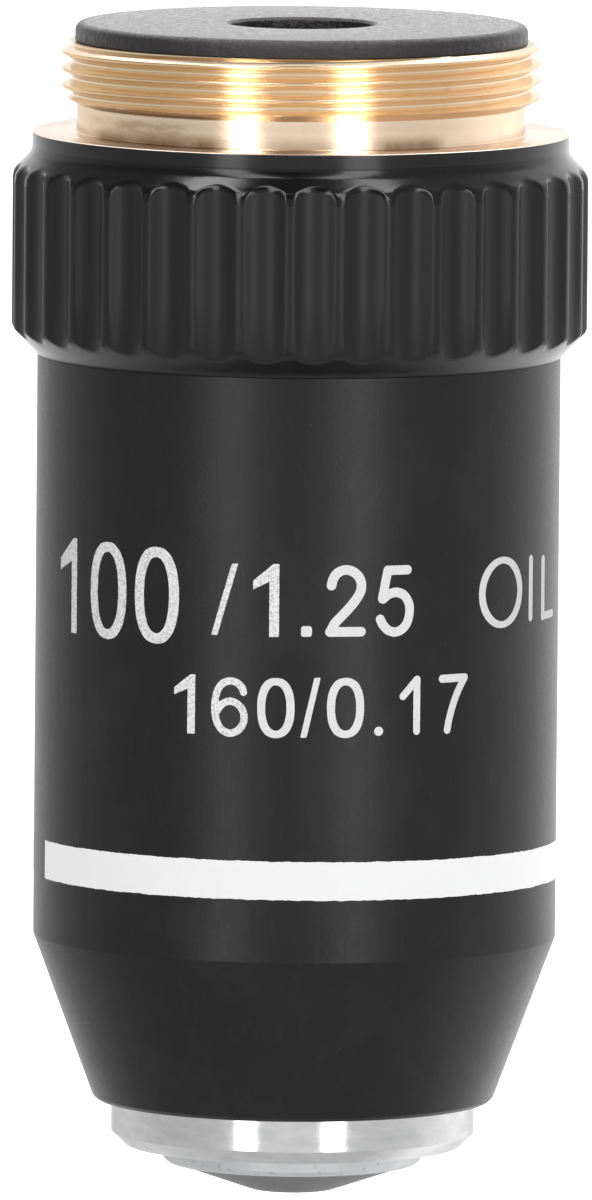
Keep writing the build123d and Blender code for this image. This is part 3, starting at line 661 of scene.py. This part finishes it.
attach(cell, "lens_unit")

# ----------------------------------------------------------------- front lens
ball = [(0.0, TIP), (BALL_FACE_R, TIP)]
a_low = math.atan2(TIP - ball_z, BALL_FACE_R)
ball += [(BALL_R * math.cos(a_low + (math.pi / 2 - a_low) * k / 24), ball_z + BALL_R * math.sin(a_low + (math.pi / 2 - a_low) * k / 24)) for k in range(1, 24)]
ball += [(0.0, ball_z + BALL_R)]
lens = lathe("front_lens_skin", ball, [CROWN], n=96)
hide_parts("front_lens")
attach(lens, "lens_unit")


# ---------------------------------------------------------------- load spring
def spring():
    """Round wire wound five turns, its end turns ground flat on their seats."""
    low, high = SPRING_LOW + WIRE * 0.30, SPRING_HIGH - WIRE * 0.30
    turns, seg, ringn = COILS, 72, 14
    n = int(turns * seg) + 1
    verts, faces = [], []
    pitch = (high - low) / turns
    tilt = math.atan2(pitch, 2 * math.pi * COIL_R)
    for i in range(n):
        t = 2 * math.pi * i / seg
        c = np.array([COIL_R * math.cos(t), COIL_R * math.sin(t), low + pitch * i / seg])
        out = np.array([math.cos(t), math.sin(t), 0.0])
        along = np.array([-math.sin(t) * math.cos(tilt), math.cos(t) * math.cos(tilt), math.sin(tilt)])
        side = np.cross(out, along)
        for k in range(ringn):
            w = 2 * math.pi * k / ringn
            p = c + WIRE / 2 * (math.cos(w) * out + math.sin(w) * side)
            p[2] = min(max(p[2], SPRING_LOW), SPRING_HIGH)
            verts.append(p)
    for i in range(n - 1):
        for k in range(ringn):
            l = (k + 1) % ringn
            faces.append((i * ringn + k, (i + 1) * ringn + k, (i + 1) * ringn + l, i * ringn + l))
    for i, flip in ((0, False), (n - 1, True)):
        ids = [i * ringn + k for k in range(ringn)]
        faces.append(tuple(ids[::-1] if flip else ids))
    return build("load_spring_wire", np.array(verts), faces, [SPRING_STEEL], None, 60.0)


coil = spring()
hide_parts("load_spring")
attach(coil, "housing")
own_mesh(coil)

# ------------------------------------------------- finishes of the inner pieces
for names, mat in (
    (("lens_tube", "parfocal_ring", "lock_ring", "meniscus_cell", "doublet_cell_a", "doublet_cell_b"), INNER_BRASS),
    (("spacer_ring", "spacer_tube", "aperture_stop", "retaining_ring"), INNER_BLACK),
    (("guide_screw", "centring_screws"), SPRING_STEEL),
    (("meniscus_lens", "doublet_a_crown", "doublet_b_crown"), CROWN),
    (("doublet_a_flint", "doublet_b_flint"), FLINT),
    (("mount_body",), BRASS), (("rear_cap", "outer_sleeve"), SLEEVE_BLACK), (("nose_collar",), COLLAR_STEEL),
    (("front_cell",), FRONT_STEEL), (("front_lens",), CROWN), (("load_spring",), SPRING_STEEL),
):
    for name in names:
        for ms in NODES[name].material_slots:
            ms.material = mat


# ==================================================== white numerals on the sleeve
CELL = 0.046      # grid the outlines are cut on


def smooth_path(pts, n=7):
    """A Catmull-Rom line through the points."""
    p = [np.array(q, float) for q in pts]
    p = [2 * p[0] - p[1]] + p + [2 * p[-1] - p[-2]]
    out = []
    for i in range(1, len(p) - 2):
        a, b, c, d = p[i - 1], p[i], p[i + 1], p[i + 2]
        for k in range(n):
            t = k / n
            out.append(0.5 * (2 * b + (c - a) * t + (2 * a - 5 * b + 4 * c - d) * t * t + (3 * b - a - 3 * c + d) * t**3))
    out.append(p[-2])
    return out


def stroke(path, w, X, Y, flat_start=False, flat_end=False):
    best = np.full(X.shape, 1e9)
    last = len(path) - 2
    for i in range(len(path) - 1):
        a, b = np.array(path[i], float), np.array(path[i + 1], float)
        d = b - a
        L2 = float(d @ d)
        t = np.clip(((X - a[0]) * d[0] + (Y - a[1]) * d[1]) / L2, 0, 1)
        dist = np.hypot(X - a[0] - t * d[0], Y - a[1] - t * d[1]) - w / 2
        u = d / math.sqrt(L2)
        if flat_start and i == 0:
            dist = np.maximum(dist, -((X - a[0]) * u[0] + (Y - a[1]) * u[1]))
        if flat_end and i == last:
            dist = np.maximum(dist, (X - b[0]) * u[0] + (Y - b[1]) * u[1])
        best = np.minimum(best, dist)
    return best


def polygon(pts, X, Y, corner=0.05):
    """Signed distance to a simple polygon; its corners stay sharp whatever `corner` is."""
    p = np.array(pts, float)
    n = len(p)
    d = np.full(X.shape, 1e9)
    inside = np.zeros(X.shape, bool)
    for i in range(n):
        a, b = p[i], p[(i + 1) % n]
        e = b - a
        t = np.clip(((X - a[0]) * e[0] + (Y - a[1]) * e[1]) / float(e @ e), 0, 1)
        d = np.minimum(d, np.hypot(X - a[0] - t * e[0], Y - a[1] - t * e[1]))
        cross = ((a[1] > Y) != (b[1] > Y)) & (X < (b[0] - a[0]) * (Y - a[1]) / (b[1] - a[1] + 1e-12) + a[0])
        inside ^= cross
    sd = np.where(inside, -d, d)
    return sd if corner <= 0 else sd


def oval(W, H, wx, wy, X, Y, power=2.3):
    def shape(a, b, power):
        x, y = np.abs(X - W / 2) / a, np.abs(Y - H / 2) / b
        q = (x**power + y**power) ** (1 / power)
        return (q - 1) * min(a, b)
    return np.maximum(shape(W / 2, H / 2, power), -shape(W / 2 - wx, H / 2 - wy, power - 0.15))


def glyph(kind, W, H, w, X, Y):
    P = lambda pts: [(x * W, y * H) for x, y in pts]
    if kind == "0":
        return oval(W, H, w * 1.04, w * 0.96, X, Y, 2.35)
    if kind == "O":
        return oval(W, H, w * 1.15, w * 0.85, X, Y, 2.05)
    if kind == "1":
        return polygon([(W, 0), (W, H), (W - 0.62 * w, H), (0, 0.767 * H), (0, 0.645 * H), (W - w, 0.757 * H), (W - w, 0)], X, Y)
    if kind == "1r":
        a = stroke([(W - w / 2, w / 2), (W - w / 2, H - w / 2)], w, X, Y)
        return np.minimum(a, stroke([(W - w / 2 - 0.01, H - w / 2), (w / 2, 0.66 * H)], w, X, Y))
    if kind == "/":
        return stroke([(w * 0.62, -w * 0.05), (W - w * 0.62, H + w * 0.05)], w, X, Y)
    if kind == "/f":
        return np.maximum(stroke([(w * 0.55, -w), (W - w * 0.55, H + w)], w, X, Y), np.abs(Y - H / 2) - H / 2)
    if kind == ".":
        q = np.maximum(np.abs(X - W / 2) - W / 2 + 0.12, np.abs(Y - H / 2) - H / 2 + 0.12)
        return np.hypot(np.maximum(np.abs(X - W / 2) - W / 2 + 0.12, 0), np.maximum(np.abs(Y - H / 2) - H / 2 + 0.12, 0)) + np.minimum(q, 0) - 0.12
    if kind == ".r":
        return np.hypot(X - W / 2, Y - H / 2) - W / 2
    if kind == "2":
        hook = smooth_path(P([(0.150, 0.700), (0.190, 0.800), (0.300, 0.888), (0.500, 0.930), (0.705, 0.892), (0.845, 0.805), (0.885, 0.700), (0.845, 0.600), (0.690, 0.468), (0.465, 0.325), (0.250, 0.195), (0.135, 0.074)]))
        return np.minimum(stroke(hook, w, X, Y, flat_start=True), stroke(P([(0.125, 0.072), (0.885, 0.072)]), w, X, Y))
    if kind == "5":
        bar = stroke(P([(0.815, 0.925), (0.300, 0.925)]), w, X, Y)
        down = stroke(P([(0.300, 0.922), (0.168, 0.535)]), w, X, Y)
        bowl = stroke(smooth_path(P([(0.190, 0.530), (0.330, 0.592), (0.530, 0.618), (0.735, 0.570), (0.862, 0.455), (0.876, 0.320), (0.805, 0.180), (0.665, 0.098), (0.490, 0.068), (0.315, 0.100), (0.185, 0.175), (0.120, 0.250)])), w, X, Y)
        return np.minimum(np.minimum(bar, down), bowl)
    if kind == "6":
        path = smooth_path(P([(0.885, 0.738), (0.825, 0.838), (0.690, 0.910), (0.515, 0.934), (0.315, 0.890), (0.175, 0.765), (0.110, 0.585), (0.112, 0.385), (0.190, 0.205), (0.345, 0.098), (0.530, 0.064), (0.735, 0.112), (0.862, 0.220), (0.898, 0.342), (0.838, 0.472), (0.690, 0.565), (0.515, 0.595), (0.330, 0.556), (0.190, 0.455), (0.118, 0.360)]))
        return stroke(path, w, X, Y, flat_start=True)
    if kind == "7":
        bar = stroke(P([(0.125, 0.928), (0.870, 0.928)]), w, X, Y)
        return np.minimum(bar, stroke(smooth_path(P([(0.870, 0.925), (0.665, 0.725), (0.490, 0.490), (0.362, 0.245), (0.300, 0.062)])), w, X, Y))
    if kind == "I":
        return stroke([(W / 2, w / 2), (W / 2, H - w / 2)], w, X, Y)
    if kind == "L":
        return np.minimum(stroke([(w / 2, w * 0.45), (w / 2, H - w / 2)], w, X, Y), stroke([(w / 2, w * 0.42), (W - w / 2, w * 0.42)], w * 0.84, X, Y))


def lattice(rng, X, Y, size):
    """Smooth value noise in -1..1."""
    gx, gy = (X - X.min()) / size, (Y - Y.min()) / size
    table = rng.uniform(-1, 1, (int(gx.max()) + 3, int(gy.max()) + 3))
    ix, iy = gx.astype(int), gy.astype(int)
    fx, fy = gx - ix, gy - iy
    fx, fy = fx * fx * (3 - 2 * fx), fy * fy * (3 - 2 * fy)
    return (table[ix, iy] * (1 - fx) + table[ix + 1, iy] * fx) * (1 - fy) + (table[ix, iy + 1] * (1 - fx) + table[ix + 1, iy + 1] * fx) * fy


def cut_out(F, X, Y):
    """Triangles of the region F < 0 on a grid, as (points, triangles, boundary edges)."""
    nx, ny = F.shape
    ids = np.arange(nx * ny).reshape(nx, ny)
    a, b, c, d = ids[:-1, :-1], ids[1:, :-1], ids[1:, 1:], ids[:-1, 1:]
    tris = np.concatenate([np.stack([a, b, c], 2).reshape(-1, 3), np.stack([a, c, d], 2).reshape(-1, 3)])
    f, x, y = F.ravel(), X.ravel(), Y.ravel()
    f = np.where(np.abs(f) < 1e-5, -1e-5, f)
    neg = f[tris] < 0
    cnt = neg.sum(1)
    pts, lookup, out = [], {}, []

    def corner(i):
        k = (i,)
        if k not in lookup:
            lookup[k] = len(pts)
            pts.append((x[i], y[i]))
        return lookup[k]

    def cross(i, j):
        k = (min(i, j), max(i, j))
        if k not in lookup:
            p, q = k
            t = min(max(f[p] / (f[p] - f[q]), 0.08), 0.92)
            lookup[k] = len(pts)
            pts.append((x[p] + t * (x[q] - x[p]), y[p] + t * (y[q] - y[p])))
        return lookup[k]

    for tri in tris[cnt == 3].tolist():
        out.append([corner(i) for i in tri])
    for tri, ng in zip(tris[cnt == 1].tolist(), neg[cnt == 1].tolist()):
        k = ng.index(True)
        i, j, l = tri[k], tri[(k + 1) % 3], tri[(k + 2) % 3]
        out.append([corner(i), cross(i, j), cross(i, l)])
    for tri, ng in zip(tris[cnt == 2].tolist(), neg[cnt == 2].tolist()):
        k = ng.index(False)
        i, j, l = tri[k], tri[(k + 1) % 3], tri[(k + 2) % 3]
        p, q, s, t = cross(i, j), corner(j), corner(l), cross(i, l)
        out.append([p, q, s])
        out.append([p, s, t])
    edges = {}
    for t in out:
        for k in range(3):
            e = (t[k], t[(k + 1) % 3])
            if (e[1], e[0]) in edges:
                del edges[(e[1], e[0])]
            else:
                edges[e] = True
    return pts, out, list(edges)


def print_on(name, pieces, material, thick=0.012):
    """Joins flat cut-outs (u, z) into one closed skin of ink on the sleeve."""
    verts, faces = [], []
    for pts, tris, edges in pieces:
        base, n = len(verts), len(pts)
        for r in (SLEEVE_R + thick, SLEEVE_R - 0.02):
            for u, z in pts:
                a = u / SLEEVE_R - math.pi / 2
                verts.append((r * math.cos(a), r * math.sin(a), z))
        for t in tris:
            faces.append([base + i for i in t])
            faces.append([base + n + i for i in t[::-1]])
        for a, b in edges:
            faces.append([base + a, base + n + a, base + n + b, base + b])
    ob = build(name, np.array(verts), faces, [material], None, 40.0)
    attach(ob, "housing")
    return ob


def numeral(kind, u0, z0, W, H, w, rough=0.0, seed=1):
    pad = 3 * CELL
    xs = np.arange(-pad, W + pad + CELL, CELL)
    ys = np.arange(-pad, H + pad + CELL, CELL)
    X, Y = np.meshgrid(xs, ys, indexing="ij")
    F = glyph(kind, W, H, w, X, Y)
    if rough:
        rng = np.random.default_rng(seed)
        F = F + rough * lattice(rng, X, Y, 0.16)
    pts, tris, edges = cut_out(F, X, Y)
    return [(u0 + x, z0 + y) for x, y in pts], tris, edges


# magnification, aperture, medium, tube length and cover glass: (kind, left u, foot z, width, height, stroke)
WORN = [
    ("1", -12.34, -20.73, 1.38, 4.01, 0.405), ("0", -9.94, -20.78, 2.16, 4.09, 0.435), ("0", -7.31, -20.78, 2.19, 4.07, 0.45),
    ("/f", -3.73, -20.27, 1.33, 3.03, 0.262), ("1", -1.84, -20.29, 1.10, 3.07, 0.415),
    ("1", -5.31, -24.47, 0.97, 2.49, 0.342), ("6", -3.62, -24.54, 1.60, 2.52, 0.308),
]
CLEAN = [
    (".", 0.18, -20.27, 0.46, 0.46, 0.41), ("2", 1.18, -20.28, 1.74, 3.04, 0.405), ("5", 3.35, -20.32, 1.73, 3.04, 0.392),
    ("O", 8.43, -20.25, 2.92, 3.00, 0.330), ("I", 11.88, -20.16, 0.45, 2.81, 0.345), ("L", 13.19, -20.22, 1.80, 2.76, 0.40),
    ("0", -1.63, -24.54, 1.57, 2.53, 0.326), ("/f", 0.12, -24.51, 0.97, 2.52, 0.258), ("0", 1.30, -24.53, 1.58, 2.53, 0.326),
    (".r", 3.33, -24.47, 0.39, 0.39, 0.39), ("1r", 4.45, -24.48, 0.96, 2.49, 0.315), ("7", 6.28, -24.50, 1.58, 2.50, 0.335),
]
print_on("marking_numerals_left", [numeral(*g, rough=0.007, seed=11 + i) for i, g in enumerate(WORN)], INK_WORN)
print_on("marking_numerals_right", [numeral(*g, rough=0.004, seed=41 + i) for i, g in enumerate(CLEAN)], INK_CLEAN)


def ring_band():
    """The white immersion ring: painted round the sleeve from a clean start, a little ragged on both edges."""
    top, foot, start, sweep = -29.76, -31.37, math.radians(-72.2), math.radians(342.0)
    n = 1500
    rng = np.random.default_rng(5)
    u = np.linspace(0, 1, n)
    L = sweep * SLEEVE_R

    def ragged(scale, amp):
        t = rng.uniform(-1, 1, int(L / scale) + 3)
        return amp * np.interp(u * L / scale, np.arange(len(t)), t)

    e_top = top + ragged(0.10, 0.016) + ragged(0.45, 0.012) + ragged(6.0, 0.012)
    e_low = foot + ragged(0.12, 0.014) + ragged(0.5, 0.012) + ragged(6.0, 0.012)
    e_top[0] -= 0.05
    e_low[0] += 0.05
    turn = start + sweep * u
    lean = -0.115 * (1 - np.cos(turn)) - 0.03 * np.sin(turn)      # the ring was painted a little out of square
    e_top, e_low = e_top + lean, e_low + lean
    verts, faces = [], []
    levels = (0.0, 0.5, 1.0)
    for i in range(n):
        a = start + sweep * u[i] - math.pi / 2
        for r in (SLEEVE_R + 0.014, SLEEVE_R - 0.02):
            for l in levels:
                verts.append((r * math.cos(a), r * math.sin(a), e_low[i] + (e_top[i] - e_low[i]) * l))
    k = len(levels)
    for i in range(n - 1):
        a, b = i * 2 * k, (i + 1) * 2 * k
        for l in range(k - 1):
            faces.append((a + l, b + l, b + l + 1, a + l + 1))
            faces.append((a + k + l, a + k + l + 1, b + k + l + 1, b + k + l))
        faces.append((a + k - 1, b + k - 1, b + 2 * k - 1, a + 2 * k - 1))
        faces.append((a, a + k, b + k, b))
    for a, flip in ((0, False), ((n - 1) * 2 * k, True)):
        for l in range(k - 1):
            q = (a + l, a + l + 1, a + k + l + 1, a + k + l)
            faces.append(q[::-1] if flip else q)
    ob = build("immersion_ring_band", np.array(verts), faces, [INK_BAND], None, 40.0)
    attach(ob, "housing")


ring_band()

# ======================================================================= studio
def floor():
    """A plain pale floor; the objective hangs above it by its own mount."""
    g = Graph("floor_paper")
    tc = g.node("ShaderNodeTexCoord")
    tone = g.noise(tc.outputs["Object"], 3.0, 2.0, 0.5)
    base = g.mix(tone, rgb(0.93, 0.93, 0.93), rgb(0.95, 0.95, 0.95))
    mat = g.surface(Base_Color=base, Roughness=0.9, Emission_Color=rgb(1, 1, 1), Emission_Strength=0.85)
    me = bpy.data.meshes.new("floor")
    s, n = 12.0, 12
    verts = [(-s + 2 * s * i / n, -s + 2 * s * j / n, -0.25) for i in range(n + 1) for j in range(n + 1)]
    faces = [(i * (n + 1) + j, (i + 1) * (n + 1) + j, (i + 1) * (n + 1) + j + 1, i * (n + 1) + j + 1) for i in range(n) for j in range(n)]
    me.from_pydata(verts, [], faces)
    me.materials.append(mat)
    ob = bpy.data.objects.new("floor", me)
    SCENE.collection.objects.link(ob)
    ob.visible_diffuse = ob.visible_glossy = ob.visible_transmission = False


def panel(name, centre, width, height, radiance, long_axis=(0, 0, 1), aim=None):
    """A soft box that faces the part; its height runs along long_axis."""
    li = bpy.data.lights.new(name, "AREA")
    li.shape = "RECTANGLE"
    li.size, li.size_y = width, height
    li.energy = radiance * math.pi * width * height
    ob = bpy.data.objects.new(name, li)
    SCENE.collection.objects.link(ob)
    c = Vector(centre)
    to = (-c if aim is None else Vector(aim)).normalized()
    up = Vector(long_axis)
    right = to.cross(up).normalized()
    up = right.cross(to).normalized()
    ob.matrix_world = Matrix((
        (right.x, up.x, -to.x, c.x), (right.y, up.y, -to.y, c.y), (right.z, up.z, -to.z, c.z), (0, 0, 0, 1)))
    ob.visible_camera = False
    return ob


def at(azimuth, elevation, dist):
    """A place seen from the part: azimuth from the camera side towards +X, in degrees."""
    a, e = math.radians(azimuth), math.radians(elevation)
    return (dist * math.sin(a) * math.cos(e), -dist * math.cos(a) * math.cos(e), dist * math.sin(e))


def sky():
    """Soft surround: white behind the part, grey at its sides, dim straight above and low down at the back."""
    g = Graph("studio", world=True)
    tc = g.node("ShaderNodeTexCoord")
    sp = g.node("ShaderNodeSeparateXYZ")
    g.nt.links.new(tc.outputs["Generated"], sp.inputs[0])
    x, y, z = sp.outputs
    turn = g.math("ARCTAN2", x, g.mul(y, -1.0))
    fac = g.add(g.mul(turn, 1 / (2 * math.pi)), 0.5)
    ramp = g.node("ShaderNodeValToRGB")
    ramp.color_ramp.interpolation = "B_SPLINE"
    stops = SKY_LEVELS
    el = ramp.color_ramp.elements
    while len(el) < len(stops):
        el.new(0.5)
    for e, (az, v) in zip(el, stops):
        e.position = az / 360 + 0.5
        e.color = (v / 2, v / 2, v / 2, 1)
    g.put(ramp.inputs[0], fac)
    level = g.mul(ramp.outputs[0], 2.0)
    level = g.mul(level, g.step(z, -0.40, -0.80, 1.0, 0.92))
    level = g.mixf(g.step(z, -0.66, -0.94), level, 0.62)
    above = g.mixf(g.step(x, -0.08, 0.26), 0.13, 0.60)
    above = g.mixf(g.step(y, 0.10, 0.36), above, 0.72)
    above = g.mixf(g.step(y, 0.38, 0.58), above, 1.25)
    above = g.mixf(g.step(x, -0.34, -0.50), above, 0.30)
    level = g.mixf(g.step(z, 0.14, 0.48), level, above)
    lp = g.node("ShaderNodeLightPath")
    level = g.mixf(lp.outputs["Is Camera Ray"], level, 1.0)
    bg = g.node("ShaderNodeBackground")
    g.put(bg.inputs["Color"], rgb(1, 1, 1))
    g.put(bg.inputs["Strength"], level)
    out = g.node("ShaderNodeOutputWorld")
    g.nt.links.new(bg.outputs[0], out.inputs["Surface"])
    SCENE.world = g.owner


# brightness of the surround by direction, degrees from the camera's side towards +X
SKY_LEVELS = ((-180, 1.32), (-160, 1.08), (-134, 0.82), (-110, 0.67), (-80, 0.52), (-50, 0.61), (-25, 0.76), (0, 0.82),
              (30, 0.76), (60, 0.66), (80, 0.73), (98, 0.92), (122, 1.22), (145, 1.50), (180, 1.32))
floor()
sky()
D = 1.7
panel("strip_left", at(-29.8, 3.0, D), 0.39, 1.50, 2.3)
panel("strip_right", at(26.1, 3.0, D), 0.43, 1.50, 2.3)
panel("overhead_left", (-0.58, -0.02, 1.58), 0.34, 0.62, 9.0, (0, 1, 0))
panel("overhead_right", (0.48, -0.02, 1.58), 0.28, 0.62, 6.0, (0, 1, 0))
panel("overhead_left_back", (-0.60, 1.10, 1.40), 0.34, 1.30, 1.3, (0, 1, 0))
panel("overhead_right_back", (0.58, 1.10, 1.40), 0.34, 1.30, 1.8, (0, 1, 0))

for side, az in (("left", -31.0), ("right", 27.0)):     # tops of the strips, seen in rounded edges only
    panel("strip_mid_" + side, at(az, 20.0, D - 0.06), 0.42, 0.42, 3.6).visible_diffuse = False
    panel("strip_top_" + side, at(az, 48.0, D), 0.42, 1.30, 5.5).visible_diffuse = False

# ======================================================================= camera
cam_data = bpy.data.cameras.new("camera")
cam_data.sensor_width = 36.0
cam_data.sensor_fit = "AUTO"
cam_data.lens = 23194.5 * 36.0 / 1200.0
cam_data.clip_start, cam_data.clip_end = 0.05, 60.0
cam = bpy.data.objects.new("camera", cam_data)
SCENE.collection.objects.link(cam)
yaw, pitch, roll = -3.95e-5, 0.1040024, 0.0086598
fwd = Vector((math.sin(yaw) * math.cos(pitch), math.cos(yaw) * math.cos(pitch), -math.sin(pitch)))
rt = Vector((math.cos(yaw), -math.sin(yaw), 0.0))
up = rt.cross(fwd)
rt2 = rt * math.cos(roll) + up * math.sin(roll)
up2 = up * math.cos(roll) - rt * math.sin(roll)
cam.matrix_world = Matrix((
    (rt2.x, up2.x, -fwd.x, 0.0), (rt2.y, up2.y, -fwd.y, -0.976), (rt2.z, up2.z, -fwd.z, 0.082), (0, 0, 0, 1)))
SCENE.camera = cam
SCENE.view_settings.view_transform = "Standard"
SCENE.view_settings.look = "None"
